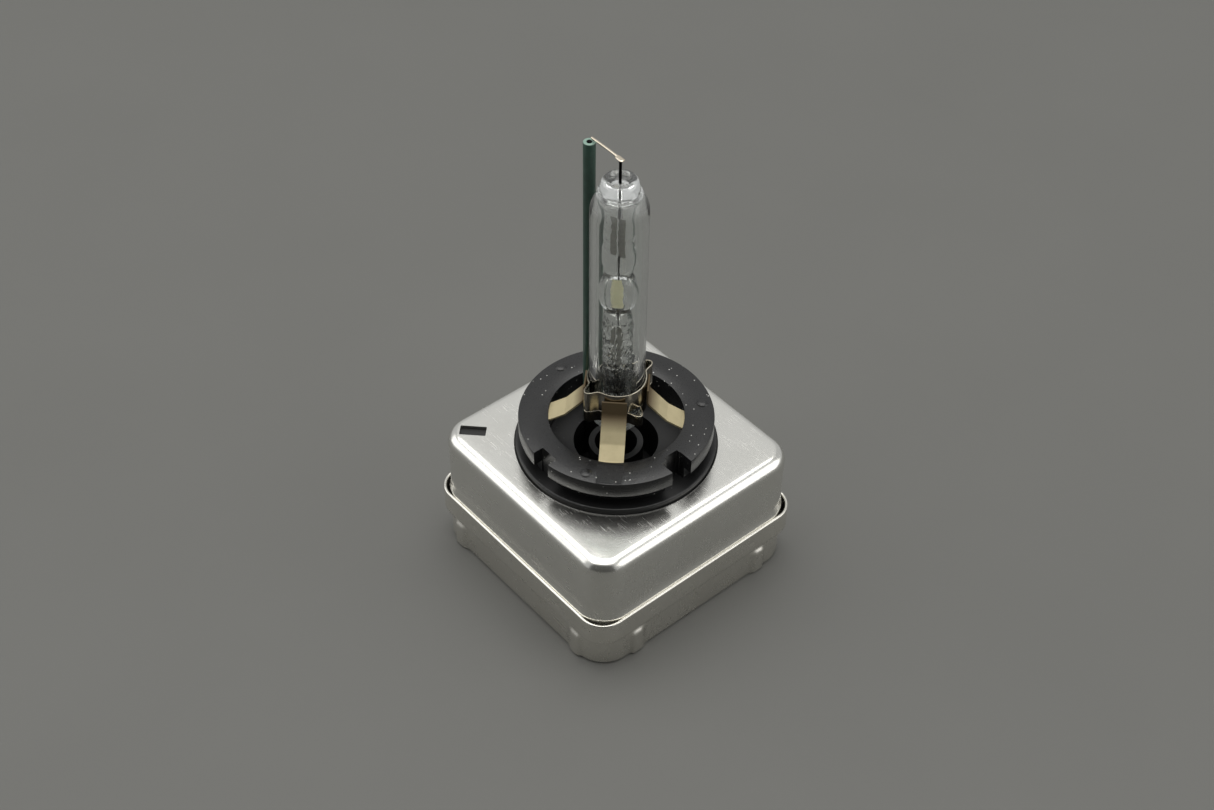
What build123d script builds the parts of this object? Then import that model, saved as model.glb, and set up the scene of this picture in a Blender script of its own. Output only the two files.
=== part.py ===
from build123d import *
import os
from math import cos, sin, radians

# Gas-discharge headlamp bulb with its igniter built into a square metal can.
# Millimetres. The lamp axis is Z and the burner points to +Z.
# The origin is on the lamp axis, in the reference plane: the tops of the ring's bosses.
# The plug enters on the +Y side.

# ---- cap ring (standard 32 mm ring) ----
RING_R = 16.0
RING_BORE_R = 11.1
RING_TOP = -0.3
RING_BOTTOM = -3.1
BOSS_R = 1.15
BOSS_PITCH_R = 14.3
BOSS_ANGLES = (60, 180, 300)
NECK_R = 14.4
NECK_BOTTOM = -5.5
NARROW_NOTCH_W = 3.5
NARROW_NOTCH_DEPTH = 1.9
WIDE_NOTCH_W = 4.1
WIDE_NOTCH_DEPTH = 2.9

# ---- socket base (the lid of the igniter, with the well) ----
COLLAR_R = 16.55
PLATE_HALF = 20.3
PLATE_CORNER_R = 4.1
PLATE_TOP = -6.95
PLATE_BOTTOM = -8.2
LEDGE_TOP = -6.3
WELL_R = 7.0
WELL_WALL = 1.2
WELL_FLOOR = -14.0
HUB_R = 4.5
HUB_BORE_R = 3.5
HUB_TOP = -6.6

# ---- metal cans ----
SHEET = 0.5
COVER_HALF = 21.17
COVER_CORNER_R = 4.8
COVER_TOP = -6.4
COVER_BOTTOM = -23.48
COVER_EDGE_R = 2.0
COVER_HOLE_R = 16.7
FLARE_OUT = 0.3
FLARE_TOP = -18.2
SLOT_LENGTH = 4.4
SLOT_WIDTH = 2.1
SLOT_PLACE = 16.8
TRAY_HALF = 22.0
TRAY_CORNER_R = 4.3
TRAY_RIM = -19.1
TRAY_STEP = -23.5
TRAY_FLOOR = -30.0
TRAY_WAIST = 0.55
TRAY_LOW_CORNER_R = 5.3
RIB_HALF_W = 1.9
RIB_TOP = -24.4
RIB_PLACE_Y_WALL = 15.1
RIB_PLACE_X_WALL = 13.3
DIMPLE_PLACE = 11.0
DIMPLE_Z = -21.3
DIMPLE_R = 0.55

# ---- straps and clamp band ----
STRAP_W = 4.0
STRAP_T = 0.3
STRAP_ANGLES = {"front": -45, "right": 45, "rear": 135, "left": -135}
STRAP_Z = -0.8
STRAP_END_R = 13.6
STRAP_BEND_R = 1.1
EAR_R = 5.07
EAR_TOP = 7.1
BAND_R = 4.6
BAND_T = 0.22
BAND_BOTTOM = 2.1
BAND_TOP = 8.3
LOOP_ANGLES = (-92, 80)
LOOP_REACH = 6.45
LOOP_W = 2.1

# ---- burner ----
BULB_R = 4.49
BULB_WALL = 1.0
BULB_BOTTOM = -1.7
BULB_SHOULDER = 41.4
BULB_TOP = 47.3
NECK_GLASS_R = 3.05
LIP_R = 2.2
DISH_BOTTOM = 46.9
ARC_Z = 26.5
ARC_R = 3.1
ARC_HALF_LENGTH = 3.3
ARC_NECK_R = 1.9
CAVITY_R = 1.4
CAVITY_HALF_LENGTH = 3.8
LEG_R = 2.45
LEG_TOP = 44.2
LEG_BOTTOM = -1.2
ELECTRODE_R = 0.18
ELECTRODE_GAP = 4.2
FOIL_T = 0.06
FOIL_LOWER = (11.8, 19.5, 1.5)
FOIL_UPPER = (33.8, 40.6, 1.9)
LEAD_R = 0.225
LEAD_TOP = 50.35
HV_LEAD_BOTTOM = -10.5

# ---- return conductor beside the burner ----
RETURN_X = -7.58
RETURN_Y = 0.5
CERAMIC_R = 0.967
CERAMIC_BORE_R = 0.42
CERAMIC_TOP = 49.45
CERAMIC_BOTTOM = -9.0
RETURN_WIRE_R = 0.32
RETURN_WIRE_BOTTOM = -25.6
LINK_R = 0.22
LINK_START = (-7.8, 1.0, 49.85)
LINK_END = (-0.5, 0.3, 50.45)
TAB_LENGTH = 1.6
TAB_WIDTH = 1.3
TAB_T = 0.26
TAB_TURN = 22
TAB_PLACE = (-0.3, 0.35, 50.5)

# ---- igniter housing and what it holds ----
HOUSING_HALF = 20.3
HOUSING_WALL = 1.2
HOUSING_TOP = -8.25
HOUSING_BOTTOM = -29.45
HOUSING_FLOOR = -28.25
BOARD_BOTTOM = -26.0
BOARD_TOP = -25.0
BOARD_HALF = 18.6
POST_R = 1.4
POST_PLACE = 16.2

# ---- connector ----
SHROUD_HALF_W = 8.0
SHROUD_Z = (-18.2, -9.4)
SHROUD_Y = (9.9, 21.6)
SHROUD_WALL = 1.1
SHROUD_BACK = 1.6
PIN_SIZE = 0.8
PIN_PITCH = 3.3
PIN_Z = -13.8
PIN_TIP_Y = 16.6
PIN_DROP_Y = 9.3
PIN_BOTTOM = -26.35

# ---- ignition transformer ----
TR_Y = -13.4
TR_Z = -18.6
CORE_R = 2.6
CORE_LENGTH = 33.0
BOBBIN_BORE_R = 2.75
BOBBIN_TUBE_R = 3.4
BOBBIN_FLANGE_R = 4.35
BOBBIN_LENGTH = 31.0
BOBBIN_FLANGE_T = 0.9
SECONDARY_R = 4.1
PRIMARY_R = 3.9
PRIMARY_LENGTH = 5.2


def rounded_block(half, corner_r, bottom, top):
    """A square block with rounded upright edges."""
    block = extrude(RectangleRounded(2 * half, 2 * half, corner_r), top - bottom)
    return Pos(0, 0, bottom) * block


def cylinder(radius, bottom, top, x=0.0, y=0.0):
    return Pos(x, y, (bottom + top) / 2) * Cylinder(radius, top - bottom)


def block(x0, x1, y0, y1, z0, z1):
    centre = Pos((x0 + x1) / 2, (y0 + y1) / 2, (z0 + z1) / 2)
    return centre * Box(x1 - x0, y1 - y0, z1 - z0)


def turned(profile):
    """A solid turned about Z from a closed profile drawn in radius and height."""
    return revolve(Plane.XZ * profile, Axis.Z, 360)


def outline(*edges):
    return make_face(Wire(edges))


def polygon(points):
    return make_face(Polyline(*points, close=True))


# ---------------------------------------------------------------- cap and socket


def strap_pockets():
    """The four slits in the ring's bore that hold the straps' outer ends."""
    pockets = []
    for angle in STRAP_ANGLES.values():
        pocket = block(RING_BORE_R - 1, STRAP_END_R + 0.05, -STRAP_W / 2 - 0.05, STRAP_W / 2 + 0.05,
                       STRAP_Z - STRAP_T / 2 - 0.02, STRAP_Z + STRAP_T / 2 + 0.02)
        pockets.append(Rot(0, 0, angle) * pocket)
    return pockets


def cap_ring():
    ring = cylinder(RING_R, RING_BOTTOM, RING_TOP)
    ring = chamfer(ring.edges().group_by(Axis.Z)[-1], 0.18)
    ring += cylinder(NECK_R, NECK_BOTTOM, RING_BOTTOM)
    ring -= cylinder(RING_BORE_R, NECK_BOTTOM - 1, 1)
    narrow = block(-NARROW_NOTCH_W / 2, NARROW_NOTCH_W / 2, -RING_R - 1, -RING_R + NARROW_NOTCH_DEPTH,
                   RING_BOTTOM - 0.01, 1)
    wide = block(RING_R - WIDE_NOTCH_DEPTH, RING_R + 1, -WIDE_NOTCH_W / 2, WIDE_NOTCH_W / 2,
                 RING_BOTTOM - 0.01, 1)
    step = block(RING_R - WIDE_NOTCH_DEPTH - 0.5, RING_R - 1.2, -0.7, WIDE_NOTCH_W / 2, RING_BOTTOM, 1)
    ring = ring - narrow - wide - step
    for angle in BOSS_ANGLES:
        x = BOSS_PITCH_R * cos(radians(angle))
        y = BOSS_PITCH_R * sin(radians(angle))
        boss = cylinder(BOSS_R, RING_TOP - 0.5, 0, x, y)
        ring += fillet(boss.edges().group_by(Axis.Z)[-1], 0.2)
    for pocket in strap_pockets():
        ring -= pocket
    return ring


def socket_base():
    """Collar under the ring, lid of the igniter, and the stepped well round the high-voltage hub."""
    base = cylinder(COLLAR_R, PLATE_TOP, NECK_BOTTOM - 0.02)
    base = fillet(base.edges().group_by(Axis.Z)[-1], 0.3)
    plate = rounded_block(PLATE_HALF, PLATE_CORNER_R, PLATE_BOTTOM, PLATE_TOP)
    base += fillet(plate.edges().group_by(Axis.Z)[-1], 1.2)
    base += cylinder(WELL_R + WELL_WALL, WELL_FLOOR - WELL_WALL, PLATE_TOP)
    base -= cylinder(RING_BORE_R, LEDGE_TOP, 0)
    base -= cylinder(WELL_R, WELL_FLOOR, 0)
    base += cylinder(HUB_R, WELL_FLOOR - WELL_WALL, HUB_TOP)
    base += cylinder(1.6, WELL_FLOOR - WELL_WALL, LEDGE_TOP, RETURN_X, RETURN_Y)
    base -= cylinder(HUB_BORE_R, WELL_FLOOR, 0)
    base -= cylinder(0.6, -20, 0)
    base -= cylinder(CERAMIC_R + 0.03, CERAMIC_BOTTOM, 0, RETURN_X, RETURN_Y)
    base -= cylinder(RETURN_WIRE_R + 0.05, -20, 0, RETURN_X, RETURN_Y)
    return base


# ---------------------------------------------------------------- metal cans


def cover_can():
    """Deep-drawn can that drops over the igniter: round hole for the collar, slot in one corner."""
    can = rounded_block(COVER_HALF, COVER_CORNER_R, COVER_BOTTOM, COVER_TOP)
    can = fillet(can.edges().group_by(Axis.Z)[-1], COVER_EDGE_R)
    flare = rounded_block(COVER_HALF + FLARE_OUT, COVER_CORNER_R + FLARE_OUT, COVER_BOTTOM, FLARE_TOP)
    can += chamfer(flare.edges().group_by(Axis.Z)[-1], FLARE_OUT - 0.02)
    inner = rounded_block(COVER_HALF - SHEET, COVER_CORNER_R - SHEET, COVER_BOTTOM - 1, COVER_TOP - SHEET)
    inner = fillet(inner.edges().group_by(Axis.Z)[-1], COVER_EDGE_R - SHEET)
    can -= inner
    can -= rounded_block(COVER_HALF + FLARE_OUT - SHEET, COVER_CORNER_R + FLARE_OUT - SHEET,
                         COVER_BOTTOM - 1, FLARE_TOP - SHEET)
    can -= cylinder(COVER_HOLE_R, COVER_TOP - 2, 0)
    slot = Rot(0, 0, 45) * Box(SLOT_LENGTH, SLOT_WIDTH, 4)
    can -= Pos(-SLOT_PLACE, -SLOT_PLACE, COVER_TOP) * slot
    window = block(-SHROUD_HALF_W - 0.3, SHROUD_HALF_W + 0.3, 15, 30, SHROUD_Z[0] - 0.3, SHROUD_Z[1] + 0.3)
    return can - window


def soft_bottom(solid):
    return fillet(solid.edges().group_by(Axis.Z)[0], 0.5)


def tray_rib():
    """One stiffening rib, pressed outward until it is flush with the upper band."""
    reach = TRAY_WAIST
    radius = (RIB_HALF_W ** 2 + reach ** 2) / (2 * reach)
    rib = cylinder(radius, TRAY_FLOOR, RIB_TOP)
    rib = fillet(rib.edges().group_by(Axis.Z)[0], 0.5)
    rib = chamfer(rib.edges().group_by(Axis.Z)[-1], 0.5)
    return Pos(0, -(TRAY_HALF - radius), 0) * rib


def tray_outside():
    """An upper band, a drawn-in lower band with a sloping step between them, and two ribs on each wall."""
    lower_half = TRAY_HALF - TRAY_WAIST
    upper = rounded_block(TRAY_HALF, TRAY_CORNER_R, TRAY_STEP - 0.5, TRAY_RIM)
    upper = chamfer(upper.edges().group_by(Axis.Z)[0], 0.4)
    outside = upper + soft_bottom(rounded_block(lower_half, TRAY_LOW_CORNER_R, TRAY_FLOOR, TRAY_STEP))
    walls = ((0, RIB_PLACE_Y_WALL), (90, RIB_PLACE_X_WALL), (180, RIB_PLACE_Y_WALL), (270, RIB_PLACE_X_WALL))
    for turn, place in walls:
        for side in (-place, place):
            outside += Rot(0, 0, turn) * Pos(side, 0, 0) * tray_rib()
    return outside


def tray_can():
    """Deep-drawn tray. The cover's open edge rests on the ledge behind the step."""
    lower_room = TRAY_HALF - TRAY_WAIST - SHEET
    tray = tray_outside()
    tray -= rounded_block(lower_room, TRAY_LOW_CORNER_R - SHEET, TRAY_FLOOR + SHEET, TRAY_STEP)
    tray -= rounded_block(TRAY_HALF - SHEET, TRAY_CORNER_R - SHEET, TRAY_STEP - 0.01, TRAY_RIM + 1)
    for side in (-DIMPLE_PLACE, DIMPLE_PLACE):
        for turn in (0, 90, 180, 270):
            dimple = Pos(side, -TRAY_HALF - DIMPLE_R + 0.2, DIMPLE_Z) * Sphere(DIMPLE_R)
            tray -= Rot(0, 0, turn) * dimple
    return tray


# ---------------------------------------------------------------- straps and band


def strap_centreline():
    corners = [
        (STRAP_END_R - STRAP_T / 2, STRAP_Z),
        (10.7, STRAP_Z),
        (8.2, 0.7),
        (EAR_R, 4.2),
        (EAR_R, EAR_TOP - STRAP_T / 2),
    ]
    return FilletPolyline(*corners, radius=STRAP_BEND_R)


def holder_strap(angle):
    """A bent sheet strap: end in the ring, rise towards the glass, upright ear on the band."""
    profile = Wire(strap_centreline().edges()).offset_2d(STRAP_T / 2, kind=Kind.INTERSECTION)
    face = make_face(profile)
    strap = extrude(Plane.XZ * face, STRAP_W / 2, both=True)
    return Rot(0, 0, angle) * strap


def band_loop(angle):
    """One outward fold of the clamp band, as an outer and an inner outline."""
    mid = (LOOP_REACH - LOOP_W / 2 + 3.0) / 2
    length = LOOP_REACH - LOOP_W / 2 - 3.0
    outer = Pos(mid, 0) * Rectangle(length, LOOP_W) + Pos(LOOP_REACH - LOOP_W / 2, 0) * Circle(LOOP_W / 2)
    thin = LOOP_W - 2 * BAND_T
    inner = Pos(mid, 0) * Rectangle(length, thin) + Pos(LOOP_REACH - LOOP_W / 2, 0) * Circle(thin / 2)
    return Rot(0, 0, angle) * outer, Rot(0, 0, angle) * inner


def clamp_band():
    """Spring band round the glass with two outward folds."""
    outline_2d = Circle(BAND_R + BAND_T)
    holes = Circle(BAND_R)
    for angle in LOOP_ANGLES:
        outer, inner = band_loop(angle)
        outline_2d += outer
        holes += inner
    band = extrude(outline_2d - holes, BAND_TOP - BAND_BOTTOM)
    return Pos(0, 0, BAND_BOTTOM) * band


# ---------------------------------------------------------------- burner


def outer_bulb():
    """Outer glass: straight tube, rounded lower end, and a thick dished neck fused round the upper lead."""
    r_in = BULB_R - BULB_WALL
    hole = LEG_R + 0.02
    lead_hole = LEAD_R + 0.01
    bottom = ThreePointArc((hole, BULB_BOTTOM), (3.7, -0.75), (BULB_R, 1.4))
    side = Line((BULB_R, 1.4), (BULB_R, BULB_SHOULDER))
    shoulder = Spline((BULB_R, BULB_SHOULDER), (4.2, 43.2), (3.6, 44.5), (NECK_GLASS_R, 45.6),
                      tangents=((0, 1), (-0.2, 1)))
    neck = Line((NECK_GLASS_R, 45.6), (2.85, 46.6))
    lip = ThreePointArc((2.85, 46.6), (2.66, 47.1), (LIP_R, BULB_TOP))
    dish = ThreePointArc((LIP_R, BULB_TOP), (1.3, 47.04), (lead_hole, DISH_BOTTOM))
    bore = Line((lead_hole, DISH_BOTTOM), (lead_hole, LEG_TOP))
    seat = Line((lead_hole, LEG_TOP), (LEG_R - 0.25, LEG_TOP))
    crown = Spline((LEG_R - 0.25, LEG_TOP), (3.05, 43.3), (r_in, 41.0), tangents=((1, 0), (0, -1)))
    inside = Line((r_in, 41.0), (r_in, 2.2))
    foot = ThreePointArc((r_in, 2.2), (3.1, 1.0), (hole, 0.4))
    base = Line((hole, 0.4), (hole, BULB_BOTTOM))
    return turned(outline(bottom, side, shoulder, neck, lip, dish, bore, seat, crown, inside, foot, base))


def arc_cavity():
    return Pos(0, 0, ARC_Z) * scale(Sphere(1), by=(CAVITY_R, CAVITY_R, CAVITY_HALF_LENGTH))


def foil_slot(foil, grow):
    low, high, width = foil
    half = width / 2 + grow
    return block(-half, half, -FOIL_T / 2 - grow, FOIL_T / 2 + grow, low - grow, high + grow)


def arc_tube():
    """Quartz discharge vessel: an oval bulb between two solid legs."""
    low = ARC_Z - ARC_HALF_LENGTH
    high = ARC_Z + ARC_HALF_LENGTH
    axis_up = Line((0, LEG_BOTTOM), (0, LEG_TOP))
    top = Line((0, LEG_TOP), (LEG_R - 0.3, LEG_TOP))
    top_edge = ThreePointArc((LEG_R - 0.3, LEG_TOP), (LEG_R - 0.09, LEG_TOP - 0.09), (LEG_R, LEG_TOP - 0.3))
    upper = Line((LEG_R, LEG_TOP - 0.3), (LEG_R, 36.0))
    upper_swell = ThreePointArc((LEG_R, 36.0), (2.65, 32.8), (ARC_NECK_R, high))
    belly = ThreePointArc((ARC_NECK_R, high), (ARC_R, ARC_Z), (ARC_NECK_R, low))
    lower_swell = ThreePointArc((ARC_NECK_R, low), (2.5, 20.9), (LEG_R, 18.5))
    lower = Line((LEG_R, 18.5), (LEG_R, LEG_BOTTOM))
    end = Line((LEG_R, LEG_BOTTOM), (0, LEG_BOTTOM))
    tube = turned(outline(axis_up, top, top_edge, upper, upper_swell, belly, lower_swell, lower, end))
    tube -= arc_cavity()
    tube -= cylinder(ELECTRODE_R + 0.01, FOIL_LOWER[1] - 0.5, ARC_Z)
    tube -= cylinder(ELECTRODE_R + 0.01, ARC_Z, FOIL_UPPER[0] + 0.5)
    tube -= cylinder(LEAD_R + 0.01, LEG_BOTTOM - 1, FOIL_LOWER[0] + 0.01)
    tube -= cylinder(LEAD_R + 0.01, FOIL_UPPER[1] - 0.01, LEG_TOP + 1)
    tube -= foil_slot(FOIL_LOWER, 0.01)
    tube -= foil_slot(FOIL_UPPER, 0.01)
    return tube


def electrode(sign, foil_end):
    tip = ARC_Z + sign * ELECTRODE_GAP / 2
    return cylinder(ELECTRODE_R, min(tip, foil_end), max(tip, foil_end))


def salt_pool():
    """Metal-halide salts dried on one side of the cavity wall."""
    skin = Pos(0, 0, ARC_Z) * scale(Sphere(1), by=(CAVITY_R - 0.02, CAVITY_R - 0.02, CAVITY_HALF_LENGTH - 0.05))
    core = Pos(0, 0, ARC_Z) * scale(Sphere(1), by=(CAVITY_R - 0.2, CAVITY_R - 0.2, CAVITY_HALF_LENGTH - 0.4))
    skin -= core
    keep = Rot(0, 0, -65) * block(0.55, 3, -3, 3, ARC_Z - 2.9, ARC_Z + 2.9)
    return skin & keep


def lead_upper():
    return cylinder(LEAD_R, FOIL_UPPER[1], LEAD_TOP)


def lead_lower():
    return cylinder(LEAD_R, HV_LEAD_BOTTOM, FOIL_LOWER[0])


def ceramic_tube():
    tube = cylinder(CERAMIC_R, CERAMIC_BOTTOM, CERAMIC_TOP, RETURN_X, RETURN_Y)
    return tube - cylinder(CERAMIC_BORE_R, CERAMIC_BOTTOM - 1, CERAMIC_TOP + 1, RETURN_X, RETURN_Y)


def return_wire():
    return cylinder(RETURN_WIRE_R, RETURN_WIRE_BOTTOM, CERAMIC_TOP + 0.12, RETURN_X, RETURN_Y)


def rod_between(start, end, radius):
    """A round rod from one point to another."""
    way = Vector(*end) - Vector(*start)
    return extrude(Plane(origin=start, z_dir=way) * Circle(radius), way.length)


def contact_wire():
    """Nickel wire from the return wire to the burner's upper lead, flattened where it is welded."""
    wire = rod_between(LINK_START, LINK_END, LINK_R)
    tab = Rot(0, 0, TAB_TURN) * Box(TAB_LENGTH, TAB_WIDTH, TAB_T)
    return wire + Pos(*TAB_PLACE) * tab


# ---------------------------------------------------------------- igniter


def igniter_housing():
    box = rounded_block(HOUSING_HALF, PLATE_CORNER_R, HOUSING_BOTTOM, HOUSING_TOP)
    box = fillet(box.edges().group_by(Axis.Z)[0], 0.8)
    room = HOUSING_HALF - HOUSING_WALL
    box -= rounded_block(room, PLATE_CORNER_R - HOUSING_WALL, HOUSING_FLOOR, 0)
    for x in (-POST_PLACE, POST_PLACE):
        for y in (-POST_PLACE, POST_PLACE):
            box += cylinder(POST_R, HOUSING_FLOOR - 0.2, BOARD_BOTTOM, x, y)
            box += cylinder(0.6, BOARD_BOTTOM - 0.2, BOARD_TOP + 0.5, x, y)
    box -= block(-SHROUD_HALF_W - 0.05, SHROUD_HALF_W + 0.05, 15, 30, SHROUD_Z[0] - 0.05, SHROUD_Z[1] + 0.05)
    return box


def potting_layer():
    """Soft sealing compound under the board."""
    layer = rounded_block(18.9, 2.6, HOUSING_FLOOR, BOARD_BOTTOM - 0.45)
    for x in (-POST_PLACE, POST_PLACE):
        for y in (-POST_PLACE, POST_PLACE):
            layer -= cylinder(POST_R + 0.05, HOUSING_FLOOR - 1, BOARD_BOTTOM, x, y)
    return layer


def pin_places():
    return [PIN_PITCH * (i - 1.5) for i in range(4)]


def circuit_board():
    board = rounded_block(BOARD_HALF, 2.4, BOARD_BOTTOM, BOARD_TOP)
    for x in (-POST_PLACE, POST_PLACE):
        for y in (-POST_PLACE, POST_PLACE):
            board -= cylinder(0.65, -30, -20, x, y)
    for x in pin_places():
        board -= block(x - 0.45, x + 0.45, PIN_DROP_Y - 0.45, PIN_DROP_Y + 0.45, -30, -20)
    board -= cylinder(RETURN_WIRE_R + 0.05, -30, -20, RETURN_X, RETURN_Y)
    return board


def connector_shroud():
    """The socket that the ballast's plug enters, open to +Y, with a keying rib."""
    shroud = block(-SHROUD_HALF_W, SHROUD_HALF_W, SHROUD_Y[0], SHROUD_Y[1], *SHROUD_Z)
    shroud = fillet(shroud.edges().filter_by(Axis.Y), 1.0)
    half = SHROUD_HALF_W - SHROUD_WALL
    cavity = block(-half, half, SHROUD_Y[0] + SHROUD_BACK, 30, SHROUD_Z[0] + SHROUD_WALL, SHROUD_Z[1] - SHROUD_WALL)
    shroud -= fillet(cavity.edges().filter_by(Axis.Y), 0.5)
    shroud += block(-0.6, 0.6, SHROUD_Y[0] + SHROUD_BACK, SHROUD_Y[1] - 1.0,
                    SHROUD_Z[1] - SHROUD_WALL - 0.8, SHROUD_Z[1] - 0.3)
    for x in pin_places():
        hole = PIN_SIZE / 2 + 0.02
        shroud -= block(x - hole, x + hole, 0, SHROUD_Y[0] + SHROUD_BACK + 1, PIN_Z - hole, PIN_Z + hole)
    return shroud


def connector_pin(x):
    half = PIN_SIZE / 2
    pin = block(x - half, x + half, PIN_DROP_Y - half, PIN_TIP_Y, PIN_Z - half, PIN_Z + half)
    pin = chamfer(pin.faces().sort_by(Axis.Y)[-1].edges(), 0.2)
    return pin + block(x - half, x + half, PIN_DROP_Y - half, PIN_DROP_Y + half, PIN_BOTTOM, PIN_Z)


def along_x(radius, x0, x1):
    rod = Pos((x0 + x1) / 2, TR_Y, TR_Z) * Rot(0, 90, 0) * Cylinder(radius, x1 - x0)
    return rod


def transformer_core():
    return along_x(CORE_R, -CORE_LENGTH / 2, CORE_LENGTH / 2)


def flange_places():
    """Left faces of the bobbin's flanges: one primary chamber, then four secondary chambers."""
    first = -BOBBIN_LENGTH / 2
    places = [first, first + BOBBIN_FLANGE_T + PRIMARY_LENGTH]
    left = BOBBIN_LENGTH - 2 * BOBBIN_FLANGE_T - PRIMARY_LENGTH
    pitch = left / 4
    places += [places[1] + pitch * (i + 1) for i in range(4)]
    return places


def coil_bobbin():
    bobbin = along_x(BOBBIN_TUBE_R, -BOBBIN_LENGTH / 2, BOBBIN_LENGTH / 2)
    for x in flange_places():
        bobbin += along_x(BOBBIN_FLANGE_R, x, x + BOBBIN_FLANGE_T)
    for side in (-1, 1):
        x = side * (BOBBIN_LENGTH / 2 - BOBBIN_FLANGE_T / 2)
        bobbin += block(x - 0.45, x + 0.45, TR_Y - 2.5, TR_Y + 2.5, BOARD_TOP, TR_Z)
    return bobbin - along_x(BOBBIN_BORE_R, -30, 30)


def winding(x0, x1, radius):
    return along_x(radius, x0, x1) - along_x(BOBBIN_TUBE_R + 0.03, -30, 30)


def primary_winding():
    places = flange_places()
    return winding(places[0] + BOBBIN_FLANGE_T + 0.05, places[1] - 0.05, PRIMARY_R)


def secondary_winding(chamber):
    places = flange_places()
    x0 = places[chamber] + BOBBIN_FLANGE_T + 0.05
    return winding(x0, places[chamber + 1] - 0.05, SECONDARY_R)


def hv_contact():
    """Sleeve in the hub that grips the burner's lower lead, with a foot through the floor."""
    sleeve = cylinder(1.3, WELL_FLOOR, -8.6)
    sleeve -= cylinder(LEAD_R + 0.02, -11.0, 0)
    return sleeve + cylinder(0.5, WELL_FLOOR - 2.2, WELL_FLOOR + 0.2)


def hv_lead():
    """Link from the transformer's hot end to the foot of the contact sleeve."""
    z0 = WELL_FLOOR - 3.0
    x = BOBBIN_LENGTH / 2 + 0.75
    path_a = block(-0.5, 0.5, -6.4, 0.5, z0, z0 + 0.8)
    path_b = block(-0.5, x + 0.4, -7.4, -6.4, z0, z0 + 0.8)
    path_c = block(x - 0.4, x + 0.4, -10.6, -6.4, z0, z0 + 0.8)
    return path_a + path_b + path_c


def spark_gap_body():
    return Pos(-12.0, 11.0, -21.6) * Rot(0, 90, 0) * (Cylinder(3.2, 4.0) - Cylinder(2.2, 5.0))


def spark_gap_caps():
    caps = []
    for side in (-1, 1):
        cap = Pos(side * 2.45, 0, 0) * Rot(0, 90, 0) * Cylinder(3.2, 0.9)
        stud = Pos(side * 1.35, 0, 0) * Rot(0, 90, 0) * Cylinder(1.2, 1.9)
        leg = block(side * 2.9 - 0.3, side * 2.9 + 0.3, -0.3, 0.3, BOARD_TOP + 21.6, 0.5)
        caps.append(Pos(-12.0, 11.0, -21.6) * (cap + stud + leg))
    return Compound(children=caps)


def storage_capacitor():
    can = block(9.6, 18.2, -6.0, 7.6, BOARD_TOP, -14.6)
    return fillet(can.edges().filter_by(Axis.Z), 0.6)


def charge_resistor():
    body = Pos(-14.6, -3.2, BOARD_TOP + 1.5) * Rot(90, 0, 0) * Cylinder(1.2, 5.5)
    return fillet(body.edges(), 0.35)


def resistor_wires():
    wires = []
    for side in (-1, 1):
        y = -3.2 + side * 3.5
        rod = block(-14.6 - 0.25, -14.6 + 0.25, min(y, -3.2 + side * 2.8), max(y, -3.2 + side * 2.8),
                    BOARD_TOP + 1.25, BOARD_TOP + 1.75)
        y_out = y + side * 0.25
        leg = block(-14.85, -14.35, y_out - 0.25, y_out + 0.25, BOARD_TOP, BOARD_TOP + 1.75)
        wires.append(rod + leg)
    return Compound(children=wires)


def parts():
    made = {
        "cap_ring": cap_ring(),
        "socket_base": socket_base(),
        "cover_can": cover_can(),
        "tray_can": tray_can(),
        "clamp_band": clamp_band(),
        "outer_bulb": outer_bulb(),
        "arc_tube": arc_tube(),
        "electrode_lower": electrode(-1, FOIL_LOWER[1]),
        "electrode_upper": electrode(1, FOIL_UPPER[0]),
        "foil_lower": foil_slot(FOIL_LOWER, 0),
        "foil_upper": foil_slot(FOIL_UPPER, 0),
        "lead_lower": lead_lower(),
        "lead_upper": lead_upper(),
        "salt_pool": salt_pool(),
        "ceramic_tube": ceramic_tube(),
        "return_wire": return_wire(),
        "contact_wire": contact_wire(),
        "igniter_housing": igniter_housing(),
        "potting_layer": potting_layer(),
        "circuit_board": circuit_board(),
        "connector_shroud": connector_shroud(),
        "transformer_core": transformer_core(),
        "coil_bobbin": coil_bobbin(),
        "primary_winding": primary_winding(),
        "hv_contact": hv_contact(),
        "hv_lead": hv_lead(),
        "spark_gap_body": spark_gap_body(),
        "spark_gap_caps": spark_gap_caps(),
        "storage_capacitor": storage_capacitor(),
        "charge_resistor": charge_resistor(),
        "resistor_wires": resistor_wires(),
    }
    for name, angle in STRAP_ANGLES.items():
        made["holder_strap_" + name] = holder_strap(angle)
    for number, x in enumerate(pin_places(), 1):
        made[f"connector_pin_{number}"] = connector_pin(x)
    for chamber in range(1, 5):
        made[f"secondary_winding_{chamber}"] = secondary_winding(chamber)
    return made


os.makedirs("parts", exist_ok=True)
for node, solid in parts().items():
    export_step(solid, f"parts/{node}.step")
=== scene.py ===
from math import cos, exp, hypot, pi, radians, sin

import bmesh
import bpy
from mathutils import Matrix, Vector, noise


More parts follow.
